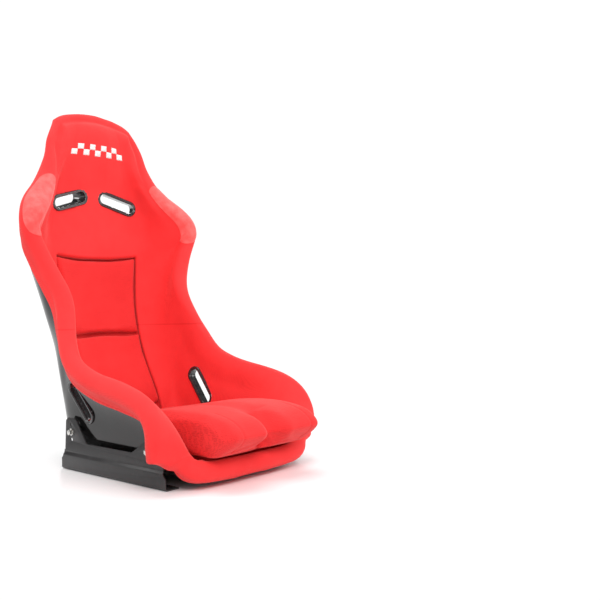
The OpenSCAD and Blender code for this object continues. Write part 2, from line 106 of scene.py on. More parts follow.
def flare(s, rim_x):
    """How much narrower the seat is at its floor than at the rim."""
    return np.maximum(1 - FLOOR_X / rim_x, 0) * (1 - smooth((s - 8) / 3))


def outer(s, t):
    """Points of the shell's outer face: s along the seat, t from -1 on the right rim to 1 on the left."""
    s, t = np.broadcast_arrays(np.asarray(s, float), np.asarray(t, float))
    v = station(s)
    n = v[..., 5]
    top = np.radians(np.minimum(v[..., 6], 90))
    a = np.minimum(np.abs(t) * top, math.pi / 2)

    def reach(angle):
        return (np.abs(np.cos(angle)) ** n + np.abs(np.sin(angle)) ** n) ** (-1 / n)

    x = reach(a) * np.sin(a) / (reach(top) * np.sin(top))
    g = (1 - reach(a) * np.cos(a)) / (1 - reach(top) * np.cos(top))
    x = x * (1 - flare(s, v[..., 2]) * (1 - g ** 5))
    return np.stack([np.sign(t) * v[..., 2] * x, v[..., 0] + (v[..., 3] - v[..., 0]) * g,
                     v[..., 1] + (v[..., 4] - v[..., 1]) * g], -1)


def unit(v):
    return v / np.maximum(np.linalg.norm(v, axis=-1, keepdims=True), 1e-9)


def inward(s, t):
    """Direction from the shell towards the occupant."""
    e = 0.02
    s0, s1 = np.clip(s - 5 * e, 0, LAST), np.clip(s + 5 * e, 0, LAST)
    t0, t1 = np.clip(t - e, -1, 1), np.clip(t + e, -1, 1)
    return unit(np.cross(outer(s, t1) - outer(s, t0), outer(s1, t) - outer(s0, t)))


def at(s, t, h):
    s, t = np.broadcast_arrays(np.asarray(s, float), np.asarray(t, float))
    return outer(s, t) + np.asarray(h)[..., None] * inward(s, t)


def smooth(x):
    c = np.clip(x, 0, 1)
    return c * c * (3 - 2 * c)


def bump(x, middle, half):
    """1 at the middle, falling smoothly to 0 at half the width on either side."""
    return smooth(1 - np.abs(x - middle) / half)


SHOULDER_FILL, HEAD_TAPER = 20, 20
HEAD_ROUND, HEAD_HALF, HEAD_STEP = 55, 160, 48


def edge_thickness(s):
    """Thickness of shell and padding at the rim: fuller over the shoulders, thinner around the head."""
    s = np.asarray(s, float)
    return BOLSTER_T + SHOULDER_FILL * bump(s, 15.2, 2.4) - HEAD_TAPER * smooth((s - 16.8) / 1.8)


LAP_DIP, SLOT_DIP = 20, 16


def dip(s, t):
    """How much thinner the padding is on the side walls, and around the shoulder slots."""
    wall = smooth((np.abs(t) - 0.45) / 0.2) * smooth((1 - np.abs(t)) / 0.14)
    wall = wall * smooth((s - 1.5) / 3) * smooth((10 - s) / 2)
    return LAP_DIP * wall + SLOT_DIP * bump(s, 16.3, 2.2) * smooth((0.8 - np.abs(t)) / 0.25)


def padding(s, t):
    """Thickness of shell and padding: full in the middle, thinner on the bolsters, round at the head."""
    full = BOLSTER_T + (BACK_T - BOLSTER_T) * np.clip((0.5 - np.abs(t)) / 0.3, 0, 1)
    fill = edge_thickness(s) - BOLSTER_T
    gap = np.minimum((1 - np.abs(t)) * HEAD_HALF, (LAST - s) * HEAD_STEP) / HEAD_ROUND
    near = 1 - np.sqrt(1 - (1 - np.clip(gap, 0, 1)) ** 2)
    rounded_off = full + (fill + BOLSTER_T - full) * near
    return np.where(fill > 0, full + fill * smooth((np.abs(t) - 0.5) / 0.35), rounded_off) - dip(s, t)


# ---- Meshes from arrays of points and quads ----
def new_object(name, points, faces, material, flat=False):
    """Mesh object from points in millimetres."""
    mesh = bpy.data.meshes.new(name)
    mesh.from_pydata((np.asarray(points, float) * MM).tolist(), [], [list(map(int, f)) for f in faces])
    mesh.materials.append(material)
    mesh.polygons.foreach_set("use_smooth", [not flat] * len(mesh.polygons))
    mesh.update()
    obj = bpy.data.objects.new(name, mesh)
    bpy.context.scene.collection.objects.link(obj)
    return obj


def grid_faces(rows, cols, wrap=False):
    """Quads of a grid of points numbered row by row; with wrap, the last column joins the first."""
    i, j = np.meshgrid(np.arange(rows - 1), np.arange(cols if wrap else cols - 1), indexing="ij")
    k = (j + 1) % cols
    corners = [i * cols + j, i * cols + k, (i + 1) * cols + k, (i + 1) * cols + j]
    return np.stack(corners, -1).reshape(-1, 4)


def vertex_normals(points, faces):
    p = points[faces]
    n = np.cross(p[:, 2] - p[:, 0], p[:, 3] - p[:, 1])
    total = np.zeros_like(points)
    for k in range(4):
        np.add.at(total, faces[:, k], n)
    return unit(total)


def closed_block(top, n):
    """The top quads, the same quads n points further on, and walls between their free edges."""
    starts, ends = top.ravel(), np.roll(top, -1, axis=1).ravel()
    edge = ~np.isin(starts * n + ends, ends * n + starts)
    a, b = starts[edge], ends[edge]
    walls = np.stack([b, a, a + n, b + n], -1)
    return np.vstack([top, top[:, ::-1] + n, walls])


def solid_between(name, faces, skin, base, normals, material):
    """Closed solid whose skin is the given faces, with a matching base point under each of their points."""
    used, index = np.unique(faces, return_inverse=True)
    top = index.reshape(faces.shape)
    obj = new_object(name, np.vstack([skin[used], base[used]]), closed_block(top, len(used)), material)
    own = np.vstack([normals[used], -normals[used]])
    obj.data.normals_split_custom_set_from_vertices(own.tolist())
    return obj


# ---- Harness slots ----
SHOULDER_SLOT = ((82, 333, 688), (0.30, 0.95, 0.05), 17, 126)
LAP_SLOT = ((198, 114, 170), (1, 0.04, -0.10), 51, 124)
RING_W, RING_BAND = 44, 9


def slot_frame(slot, side):
    """Middle of a slot, and its directions: along it, across it and out of the seat."""
    middle, out = np.array(slot[0], float), unit(np.array(slot[1], float))
    z = np.array([0, 0, 1.0])
    right = unit(np.cross(z, out)) if abs(out[0]) > 0.9 else unit(np.cross(out, z))
    up = np.cross(out, right)
    a = math.radians(slot[2])
    along, across = math.cos(a) * right + math.sin(a) * up, math.cos(a) * up - math.sin(a) * right
    mirror = np.array([side, 1, 1])
    return middle * mirror, along * mirror, across * mirror, out * mirror


def cut_slot(points, faces, slot, side, inset):
    """Removes the faces inside a slot's outline and draws the edge of the hole onto that outline."""
    middle, along, across, out = slot_frame(slot, side)
    half, r = (slot[3] - RING_W) / 2, RING_W / 2 - inset
    d = points - middle
    u, v, w = d @ along, d @ across, d @ out
    excess = u - np.clip(u, -half, half)
    near = (np.abs(w) < 60) & (np.hypot(excess, v) < r)
    gone = near[faces].sum(1) >= 2
    kept = faces[~gone]
    rim = np.intersect1d(faces[gone], kept)
    length = np.maximum(np.hypot(excess[rim], v[rim]), 1e-6)
    shift = r / length - 1
    points = points.copy()
    points[rim] += (excess[rim] * shift)[:, None] * along + (v[rim] * shift)[:, None] * across
    return points, kept, rim


def under_rim(skin, base, slot, side):
    """The base points of a hole's edge, moved so that they lie straight behind its skin points."""
    out = slot_frame(slot, side)[3]
    return skin + ((base - skin) @ out)[:, None] * out


# ---- Materials ----
class Nodes:
    """A material whose nodes are added one by one; a value that is a socket is linked."""

    def __init__(self, name):
        self.material = bpy.data.materials.new(name)
        self.material.use_nodes = True
        self.tree = self.material.node_tree
        self.shader = self.tree.nodes["Principled BSDF"]

    def fill(self, node, values):
        for key, value in values.items():
            if isinstance(value, bpy.types.NodeSocket):
                self.tree.links.new(value, node.inputs[key])
            else:
                node.inputs[key].default_value = value
        return node

    def add(self, kind, values=None, **settings):
        node = self.tree.nodes.new("ShaderNode" + kind)
        for key, value in settings.items():
            setattr(node, key, value)
        return self.fill(node, values or {})

    def place(self, scale=(1, 1, 1), turn=(0, 0, 0)):
        """Object coordinates, turned and scaled."""
        coordinates = self.add("TexCoord").outputs["Object"]
        return self.add("Mapping", {"Vector": coordinates, "Scale": scale, "Rotation": turn}).outputs[0]

    def noise(self, scale, detail=3, rough=0.5, vector=None):
        return self.add("TexNoise", {"Vector": vector or self.place(), "Scale": scale, "Detail": detail,
                                     "Roughness": rough}).outputs["Fac"]

    def range(self, value, low, high, to_low=0.0, to_high=1.0):
        return self.add("MapRange", {"Value": value, "From Min": low, "From Max": high, "To Min": to_low,
                                     "To Max": to_high}).outputs["Result"]

    def math(self, how, a, b=0.0):
        return self.add("Math", {0: a, 1: b}, operation=how).outputs[0]

    def mix(self, amount, a, b):
        node = self.add("Mix", data_type="RGBA")
        self.fill(node, {0: amount, 6: a, 7: b})
        return node.outputs[2]

    def bump(self, height, strength, distance, normal=None):
        values = {"Height": height, "Strength": strength, "Distance": distance}
        if normal:
            values["Normal"] = normal
        return self.add("Bump", values).outputs[0]

    def finish(self, **values):
        self.fill(self.shader, {key.replace("_", " "): value for key, value in values.items()})
        return self.material


def rgb(r, g, b):
    return (r, g, b, 1)


def weave(n, pitch, turn=0.0, slub=0.0):
    """Height of a knitted or woven cloth: two crossed sets of threads, pitch metres apart."""
    waves = []
    for angle in (turn, turn + math.pi / 2):
        vector = n.place(turn=(0.35, angle, 0.2))
        waves.append(n.add("TexWave", {"Vector": vector, "Scale": 0.314 / pitch, "Distortion": 1.2 + slub,
                                       "Detail": 1.0, "Detail Scale": 1.5}).outputs["Fac"])
    return n.math("MAXIMUM", waves[0], waves[1])


def knit(name, colour, deep, pitch=0.0016, turn=0.6, relief=0.5, slub=0.0, seam_z=None):
    """Stretch fabric: fine threads with darker gaps, soft mottling, a short pile's sheen and a level seam
    whose groove is darkened with painted shade.
    """
    n = Nodes(name)
    threads = weave(n, pitch, turn, slub)
    pile = n.noise(900, 2)
    mottle = n.noise(14, 4, 0.6)
    shade = n.math("MULTIPLY", n.range(threads, 0.1, 0.9, 0.35, 1.0), n.range(pile, 0.2, 0.8, 0.75, 1.0))
    thread_colour = n.mix(shade, deep, colour)
    tone = n.mix(n.range(mottle, 0.35, 0.75, 0.0, 0.22), thread_colour, deep)
    fine = n.bump(threads, relief, 0.00025)
    normal = n.bump(n.noise(240, 3), 0.25, 0.0008, fine)
    rough = n.range(mottle, 0.3, 0.7, 0.78, 0.92)
    if seam_z:
        # Painted shade along the seam: a thin band at height seam_z darkens the colour towards the deep red,
        # and the same band sinks a groove in the bump.
        height = n.add("SeparateXYZ", {"Vector": n.place()}).outputs["Z"]
        off = n.math("ABSOLUTE", n.math("SUBTRACT", height, seam_z))
        line = n.range(off, 0.0006, 0.0022, 1.0, 0.0)
        tone = n.mix(n.math("MULTIPLY", line, 0.75), tone, deep)
        normal = n.bump(line, -0.5, 0.0015, normal)
    return n.finish(Base_Color=tone, Roughness=rough, Normal=normal, Sheen_Weight=0.25, Sheen_Roughness=0.45,
                    Sheen_Tint=rgb(1.0, 0.45, 0.42), Specular_IOR_Level=0.25)


RED, DEEP_RED = rgb(0.86, 0.038, 0.038), rgb(0.64, 0.014, 0.016)


def suede():
    """Short brushed nap: soft blotches where the nap lies over, and a strong sheen."""
    n = Nodes("patch_suede")
    blotch = n.noise(42, 5, 0.62)
    nap = n.noise(1400, 2, 0.6)
    colour = n.mix(n.range(blotch, 0.35, 0.68), rgb(0.80, 0.085, 0.080), rgb(0.92, 0.155, 0.145))
    colour = n.mix(n.range(nap, 0.3, 0.75, 0.0, 0.35), colour, rgb(0.70, 0.050, 0.050))
    normal = n.bump(nap, 0.5, 0.0003, n.bump(blotch, 0.2, 0.001))
    return n.finish(Base_Color=colour, Roughness=n.range(blotch, 0.3, 0.7, 0.96, 0.84), Normal=normal,
                    Sheen_Weight=0.6, Sheen_Roughness=0.35, Sheen_Tint=rgb(1.0, 0.62, 0.60),
                    Specular_IOR_Level=0.15)


def gelcoat():
    """Black gel-coat: deep gloss with a trace of the mould's ripple, fine swirls and dust."""
    n = Nodes("shell_gelcoat")
    ripple = n.noise(9, 2, 0.45)
    swirl = n.noise(320, 4, 0.7, n.place(scale=(1, 1, 0.15)))
    colour = n.mix(n.range(n.noise(30, 4), 0.4, 0.8),
                   rgb(0.005, 0.0045, 0.0045), rgb(0.009, 0.008, 0.008))
    normal = n.bump(ripple, 0.16, 0.004)
    return n.finish(Base_Color=colour, Roughness=n.range(swirl, 0.3, 0.75, 0.07, 0.16), Normal=normal,
                    Coat_Weight=0.15, Coat_Roughness=0.04, Specular_IOR_Level=0.38)


def moulded_plastic(name, colour, rough, coat):
    """Injection-moulded plastic with a fine grain and slight wear."""
    n = Nodes(name)
    grain = n.noise(1600, 2, 0.6)
    wear = n.noise(60, 5, 0.65)
    lighter = tuple(c * 1.8 + 0.006 for c in colour[:3]) + (1,)
    tone = n.mix(n.range(wear, 0.5, 0.8, 0.0, 0.8), colour, lighter)
    return n.finish(Base_Color=tone, Roughness=n.range(wear, 0.3, 0.7, rough, rough + 0.12),
                    Normal=n.bump(grain, 0.12, 0.0002), Coat_Weight=coat, Coat_Roughness=0.12)


def powder_coat():
    """Satin black powder coat: orange-peel texture, rubbed a little lighter in patches."""
    n = Nodes("bracket_steel")
    peel = n.noise(700, 2, 0.5)
    rub = n.noise(35, 5, 0.7)
    colour = n.mix(n.range(rub, 0.5, 0.8, 0.0, 0.7), rgb(0.020, 0.019, 0.020), rgb(0.042, 0.041, 0.042))
    return n.finish(Base_Color=colour, Roughness=n.range(rub, 0.3, 0.75, 0.34, 0.48),
                    Normal=n.bump(peel, 0.22, 0.0003), Metallic=0.0, Specular_IOR_Level=0.6)


def zinc():
    """Bright zinc plate: faint turning lines and a cloudy passivation."""
    n = Nodes("zinc_steel")
    cloud = n.noise(90, 4, 0.6)
    lines = n.noise(2600, 2, 0.5, n.place(scale=(0.08, 1, 1)))
    colour = n.mix(n.range(cloud, 0.35, 0.7), rgb(0.62, 0.61, 0.58), rgb(0.80, 0.80, 0.79))
    return n.finish(Base_Color=colour, Metallic=1.0, Roughness=n.range(cloud, 0.3, 0.7, 0.22, 0.38),
                    Normal=n.bump(lines, 0.2, 0.0002))


def hook_tape():
    """Black hook-and-loop tape: rows of tiny hooks."""
    n = Nodes("hook_and_loop")
    hooks = n.add("TexVoronoi", {"Vector": n.place(), "Scale": 900.0}).outputs["Distance"]
    colour = n.mix(n.range(hooks, 0.0, 0.7), rgb(0.035, 0.035, 0.036), rgb(0.010, 0.010, 0.010))
    return n.finish(Base_Color=colour, Roughness=0.85, Normal=n.bump(hooks, 0.8, 0.0006),
                    Sheen_Weight=0.3)


def satin_thread():
    """White embroidery: close parallel threads with a soft lustre."""
    n = Nodes("white_thread")
    threads = n.add("TexWave", {"Vector": n.place(turn=(0, 0.785, 0)), "Scale": 420.0, "Distortion": 0.8,
                                "Detail": 1.0}).outputs["Fac"]
    colour = n.mix(threads, rgb(0.66, 0.64, 0.62), rgb(0.93, 0.92, 0.90))
    return n.finish(Base_Color=colour, Roughness=n.range(threads, 0, 1, 0.55, 0.4),
                    Normal=n.bump(threads, 0.6, 0.0004), Sheen_Weight=0.3)


KNIT = knit("red_fabric", RED, DEEP_RED, seam_z=0.342)
INSERT = knit("centre_fabric", rgb(0.80, 0.030, 0.030), rgb(0.46, 0.008, 0.010), 0.0034, 0.0, 0.6, 5.0)
SUEDE, GELCOAT, POWDER, ZINC = suede(), gelcoat(), powder_coat(), zinc()
GLOSS_TRIM = moulded_plastic("bezel_plastic", rgb(0.018, 0.018, 0.019), 0.16, 0.7)
TAPE, WHITE = hook_tape(), satin_thread()


# ---- The fabric cover: one skin over padding and rim roll, then cut into its pieces ----
def between(points, counts):
    """Values that run through the points, with the given number of steps in each stretch."""
    parts = [np.linspace(a, b, n, endpoint=False) for a, b, n in zip(points[:-1], points[1:], counts)]
    return np.concatenate(parts + [[points[-1]]])


WALL_T, ROUND_T = 0.006, 0.03
WALL_S, ROUND_S = 0.02, 0.13
# Columns from the middle of the seat out to its left rim, and how far each lies in the bay
HALF_T = between([0, INSERT_T, INSERT_T + WALL_T, INSERT_T + ROUND_T, 1], [16, 5, 5, 26])
ROWS_S = np.concatenate([
    between([0, SEAT_END_S, WAIST_S - 0.12], [64, 7])[:-1],
    between([WAIST_S - 0.12, WAIST_S, WAIST_S + 0.12], [6, 6])[:-1],
    between([WAIST_S + 0.12, CREASE_S, CREASE_S + WALL_S, CREASE_S + ROUND_S, SHOULDER_S, LAST],
            [34, 5, 6, 22, 30])])


def bay_share(t):
    """1 in the bay, falling to 0 over the rounded edge of the bolster."""
    x = np.abs(t) - INSERT_T
    wall = 1 - 0.78 * np.clip(x / WALL_T, 0, 1)
    return np.where(x < WALL_T, wall, 0.22 * (1 - np.clip((x - WALL_T) / (ROUND_T - WALL_T), 0, 1)) ** 2)


def bay_rows(s):
    x = s - CREASE_S
    wall = 1 - 0.72 * np.clip(x / WALL_S, 0, 1)
    return np.where(x < WALL_S, wall, 0.28 * (1 - np.clip((x - WALL_S) / (ROUND_S - WALL_S), 0, 1)) ** 2)


def seam(distance, width, depth):
    """Depth of a sewn seam at a distance from its line, both in millimetres."""
    return depth * np.exp(-(distance / width) ** 2)


def level(s, t):
    """Moves places near the creases of the back so that the creases run level across the seat."""
    x = np.minimum(np.abs(t) / INSERT_T, 1) ** 2
    return s - 0.1 * bump(s, CREASE_S, 1.6) - 0.3 * bump(s, LUMBAR_S, 1.4) - x * (
        0.12 * bump(s, CREASE_S, 1.6) + 0.3 * bump(s, LUMBAR_S, 1.4))


def face_height(s, t):
    """Height of the fabric's skin over the shell's outer face, on the side of the occupant."""
    full = padding(s, t)
    return full - bay_rows(s) * bay_share(t) * (full - BASE_T)


def band_width(s):
    return 50 + 40 * smooth((s - 12) / 3.5) + 60 * (1 - smooth((s - 1.5) / 0.8))


def band_t(s):
    s = np.asarray(s, float)
    return 1 - band_width(s) / (np.linalg.norm(outer(s, 1) - outer(s, 0.9), axis=-1) * 10)


def arch_point(k):
    angle = k * math.pi / 2
    return SHOULDER_S + (ARCH_S - SHOULDER_S) * np.sin(angle), band_t(SHOULDER_S) * np.cos(angle)


SIDE_SHARE = 0.4


def band_end(s, t):
    """Where the roll's band ends on the shell, for a place on the rim."""
    side = np.sign(t)
    if s < 1e-6:
        return LIP_S, t * band_t(LIP_S)
    if s <= SHOULDER_S:
        q = LIP_S + s * (SHOULDER_S - LIP_S) / SHOULDER_S
        return q, side * band_t(q)
    if abs(t) > 1 - 1e-6:
        q, u = arch_point(SIDE_SHARE * (s - SHOULDER_S) / (LAST - SHOULDER_S))
    else:
        q, u = arch_point(1 - (1 - SIDE_SHARE) * abs(t))
    return q, side * u


def square_to(v, w):
    """The part of v that is square to the direction w."""
    return v - (v @ w) * w


def outwards(s, t):
    """Direction in which the roll stands out past the rim, square to it; it turns at the corners."""
    e = 0.05
    p = outer(s, t)
    across_seat = unit(p - outer(s, t - (np.sign(t) or 1) * e))
    along = unit(outer(min(s + e, LAST), t) - outer(max(s - e, 0), t))
    ahead = unit(square_to(along, across_seat))
    side = 1 if abs(t) > 0.999 else smooth((abs(t) - 0.7) / 0.3)
    return unit(side * unit(square_to(across_seat, along)) + smooth((s - LAST + 0.9) / 0.9) * ahead
                - (1 - smooth(s / 0.9)) * ahead)


CAP = np.radians(between([90, -90], [14])[1:])
BAND = between([0, 0.55, 0.9, 1], [7, 8, 4])[1:]
FOLD_IN = 25
FOLD_DEPTH = 1.1


def roll_profile(s, t):
    """Skin and base points of the roll at one place of the rim: around the cap, then along the band."""
    e, n, d = outer(s, t), inward(s, t), outwards(s, t)
    full = float(edge_thickness(s))
    middle, half = (full - ROLL_T) / 2, (full + ROLL_T) / 2
    cap = e + d * ROLL_OUT * np.cos(CAP)[:, None] + n * (middle + half * np.sin(CAP))[:, None]
    cap_base = e + d * 0.4 + n * np.linspace(SHELL_T, 0, len(CAP))[:, None]
    q, u = band_end(s, t)
    ss, tt = s + (q - s) * BAND, t + (u - t) * BAND
    length = np.linalg.norm(outer(q, u) - e)
    neck = seam((s - SHOULDER_S - 0.25) * 70, 1.6, 1.0) * (abs(t) > 0.999)
    hem = seam((1 - BAND) * length - FOLD_IN, 2.6, FOLD_DEPTH)
    h = hem + neck - ROLL_T * (1 - 0.9 * smooth((BAND - 0.88) / 0.12))
    return np.vstack([cap, at(ss, tt, h)]), np.vstack([cap_base, at(ss, tt, 0 * h - 0.4)])


def soft_wave(p):
    """Small even undulation of cloth pulled over foam, in millimetres."""
    x, y, z = (p / 1000).T
    return (0.45 * np.sin(61 * x + 23 * z + 1.3 * np.sin(31 * y)) + 0.35 * np.sin(47 * z - 38 * y + 1.1)
            + 0.22 * np.sin(118 * x - 97 * z + 83 * y))


def cover_arrays():
    """Skin points, base points, faces, and for each face its s, its t and whether it is on the roll."""
    cols = np.concatenate([-HALF_T[:0:-1], HALF_T])
    s, t = np.meshgrid(ROWS_S, cols, indexing="ij")
    rows, width = s.shape
    placed = np.where(np.abs(t) > 0.999, s,
                      level(s, t) + (s - level(s, t)) * smooth((np.abs(t) - 0.6) / 0.3))
    skin = at(placed, t, face_height(s, t)).reshape(-1, 3)
    base = at(placed, t, np.full(s.shape, SHELL_T + 0.3)).reshape(-1, 3)
    faces = grid_faces(rows, width)
    centre_s = s.ravel()[faces].mean(1)
    centre_t = t.ravel()[faces].mean(1)
    loop = ([(0, j) for j in range(width - 1)] + [(i, width - 1) for i in range(rows - 1)]
            + [(rows - 1, j) for j in range(width - 1, 0, -1)] + [(i, 0) for i in range(rows - 1, 0, -1)])
    profiles = [roll_profile(ROWS_S[i], cols[j]) for i, j in loop]
    m = len(CAP) + len(BAND)
    start = len(skin)
    ids = np.array([[i * width + j] + [start + k * m + p for p in range(m)]
                    for k, (i, j) in enumerate(loop)])
    nxt = np.roll(ids, -1, axis=0)
    around = np.stack([nxt[:, :-1], ids[:, :-1], ids[:, 1:], nxt[:, 1:]], -1)
    place = np.array([(ROWS_S[i], cols[j]) for i, j in loop])
    middle = (place + np.roll(place, -1, axis=0)) / 2
    skin = np.vstack([skin] + [p[0] for p in profiles])
    base = np.vstack([base] + [p[1] for p in profiles])
    roll_s = np.repeat(middle[:, 0], m)
    roll_t = np.repeat(middle[:, 1], m)
    faces_all = np.vstack([faces, around.reshape(-1, 4)])
    on_roll = np.concatenate([np.zeros(len(faces), bool), np.ones(len(roll_s), bool)])
    all_s, all_t = np.concatenate([centre_s, roll_s]), np.concatenate([centre_t, roll_t])
    return skin, base, faces_all, all_s, all_t, on_roll


def make_cover():
    """The padded pieces and the rim's fabric roll, with one continuous skin from piece to piece."""
    skin, base, faces, s, t, on_roll = cover_arrays()
    normals = vertex_normals(skin, faces)
    skin = skin + normals * soft_wave(skin)[:, None]
    normals = vertex_normals(skin, faces)
    keys = np.arange(len(faces))
    labels = np.stack([s, t, on_roll, keys], -1)
    for slot in (SHOULDER_SLOT, LAP_SLOT):
        for side in (-1, 1):
            tagged = np.hstack([faces, keys[:, None]])
            before = {tuple(f[:4]): f[4] for f in tagged}
            skin, kept, rim = cut_slot(skin, faces, slot, side, 3.5)
            base[rim] = under_rim(skin[rim], base[rim], slot, side)
            keys = np.array([before[tuple(f)] for f in kept])
            faces = kept
    s, t, on_roll = labels[keys, 0], labels[keys, 1], labels[keys, 2] > 0.5
    bay = np.abs(t) < INSERT_T
    side_rim = np.abs(t) > 0.999
    pieces = {
        "head_pad": ~on_roll & (s > CREASE_S),
        "seat_base_pad": ~on_roll & bay & (s < SEAT_END_S),
        "back_base_pad": ~on_roll & bay & (s > SEAT_END_S) & (s < CREASE_S),
        "head_cover": on_roll & (s > SHOULDER_S),
        "front_lip": on_roll & ~side_rim & (s < SHOULDER_S),
    }
    for name, side in (("left", 1), ("right", -1)):
        here = side * t > 0
        pieces["side_bolster_" + name] = ~on_roll & ~bay & here & (s > WAIST_S) & (s < CREASE_S)
        pieces["thigh_bolster_" + name] = ~on_roll & ~bay & here & (s < WAIST_S)
        pieces["rim_trim_" + name] = on_roll & side_rim & here & (s < SHOULDER_S)
    for name, chosen in pieces.items():
        material = INSERT if "base" in name else KNIT
        obj = solid_between(name + "_cover", faces[chosen], skin, base, normals, material)
        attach(obj, SEAT)
        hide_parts(name)
    return skin[np.unique(faces[~on_roll])]


# ---- Shell ----
def shell_relief(s, t):
    """Moulded relief on the outer face: a raised middle panel, a flute down the lower back, hollow flanks."""
    panel = smooth((0.455 - np.abs(t)) / 0.06) * 4.2 - bump(np.abs(t), 0.56, 0.14) * 2.6
    low_flute = -bump(t, 0, 0.13) * 3.4 + bump(np.abs(t), 0.2, 0.13) * 1.6
    rib = bump(t, 0, 0.16) * 3.0
    body = smooth((s - 7.2) / 1.8) * smooth((17.0 - s) / 1.6)
    low = smooth((s - 7.0) / 1.5) * smooth((12.2 - s) / 2.4)
    high = smooth((s - 12.4) / 1.6) * smooth((16.9 - s) / 1.2)
    return panel * body + low_flute * low + rib * high


def make_shell():
    """Glossy moulded shell: outer face with its relief, inner face, and a rounded edge between them."""
    s, t = np.meshgrid(between([0, LAST], [230]), between([-1, 1], [150]), indexing="ij")
    rows, cols = s.shape
    skin = at(s, t, -shell_relief(s, t)).reshape(-1, 3)
    base = at(s, t, np.full(s.shape, SHELL_T - 0.2)).reshape(-1, 3)
    faces = grid_faces(rows, cols)[:, ::-1]
    for slot in (SHOULDER_SLOT, LAP_SLOT):
        for side in (-1, 1):
            skin, faces, rim = cut_slot(skin, faces, slot, side, 3.5)
            base[rim] = under_rim(skin[rim], base[rim], slot, side)
    obj = solid_between("shell_body", faces, skin, base, vertex_normals(skin, faces), GELCOAT)
    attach(obj, SEAT)
    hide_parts("shell")
    return skin


# ---- Harness slot trims ----
def stadium(length, width, count=28):
    """Outline of a slot with round ends, anticlockwise, as points (along, across) and outward directions."""
    half = (length - width) / 2
    points, away = [], []
    for end in (1, -1):
        for a in np.linspace(-90, 90, count):
            c, q = end * math.cos(math.radians(a)), end * math.sin(math.radians(a))
            points.append((end * half + width / 2 * c, width / 2 * q))
            away.append((c, q))
    return np.array(points), np.array(away)


# Outline of a trim's cross-section: distance in from its outer edge, and height from its hidden end
PROUD, LEAN = 1.4, 0.85
FLANGE = [(0.0, -3.4), (0.2, -1.6), (1.0, -0.5), (2.2, 0.3), (3.6, 0.5), (4.8, 0.2), (5.4, -0.5), (5.9, -0.7),
          (6.6, -0.5), (7.6, -0.9), (8.3, -2.0), (8.7, -4.0)]


def plane_at_slot(points, slot, side, towards):
    """Plane w = a + b u + c v that rests on the surface around a slot, in the slot's own directions."""
    middle, along, across, out = slot_frame(slot, side)
    d = points - middle
    u, v, w = d @ along, d @ across, d @ out
    half = (slot[3] - RING_W) / 2
    r = np.hypot(u - np.clip(u, -half, half), v)
    ring = (r > RING_W / 2 - 5) & (r < RING_W / 2 + 5) & (np.abs(w) < 60)
    terms = np.column_stack([np.ones(ring.sum()), u[ring], v[ring]])
    plane = np.linalg.lstsq(terms, w[ring], rcond=None)[0] * [1, LEAN, LEAN]
    return plane + [towards * np.percentile(towards * (w[ring] - terms @ plane), 80), 0, 0]


def make_trim(node, slot, side, hidden, surface, towards):
    """Ring with a rounded flange that lies on a surface, and a lining tube that ends inside the seat."""
    middle, along, across, out = slot_frame(slot, side)
    a, b, c = plane_at_slot(surface, slot, side, towards)
    outline, away = stadium(slot[3], RING_W)
    profile = FLANGE + [(RING_BAND, None), (RING_BAND - 2.4, None), (RING_BAND - 2.4, -4.6), (0.0, -4.6)]
    rows = []
    for inset, height in profile:
        p = outline - away * inset
        w = a + b * p[:, 0] + c * p[:, 1] + towards * (PROUD + (height or 0))
        if height is None:
            w = np.full(len(p), hidden)
        rows.append(middle + p[:, :1] * along + p[:, 1:] * across + w[:, None] * out)
    points = np.array(rows).reshape(-1, 3)
    closed = grid_faces(len(profile) + 1, len(outline), wrap=True) % len(points)
    if side * towards < 0:
        closed = closed[:, ::-1]
    obj = new_object(node + "_ring", points, closed, GLOSS_TRIM)
    obj.data.set_sharp_from_angle(angle=math.radians(50))
    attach(obj, SEAT)
    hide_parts(node)


def make_trims(cover, shell):
    for name, side in (("left", 1), ("right", -1)):
        make_trim("shoulder_bezel_front_" + name, SHOULDER_SLOT, side, -0.2, cover, -1)
        make_trim("shoulder_bezel_rear_" + name, SHOULDER_SLOT, side, 0, shell, 1)
        make_trim("lap_bezel_inner_" + name, LAP_SLOT, side, -0.2, cover, -1)
        make_trim("lap_bezel_outer_" + name, LAP_SLOT, side, 0, shell, 1)


# ---- Loose cushions, puffed by a short cloth simulation ----
def apply_modifiers(obj):
    bpy.context.view_layer.update()
    shape = bpy.data.meshes.new_from_object(obj.evaluated_get(bpy.context.evaluated_depsgraph_get()))
    obj.modifiers.clear()
    obj.data = shape


def coordinates(mesh):
    co = np.empty(len(mesh.vertices) * 3, np.float32)
    mesh.vertices.foreach_get("co", co)
    return co.reshape(-1, 3).astype(float)


def set_coordinates(mesh, co):
    mesh.vertices.foreach_set("co", co.astype(np.float32).ravel())
    mesh.update()


FRAMES = 20


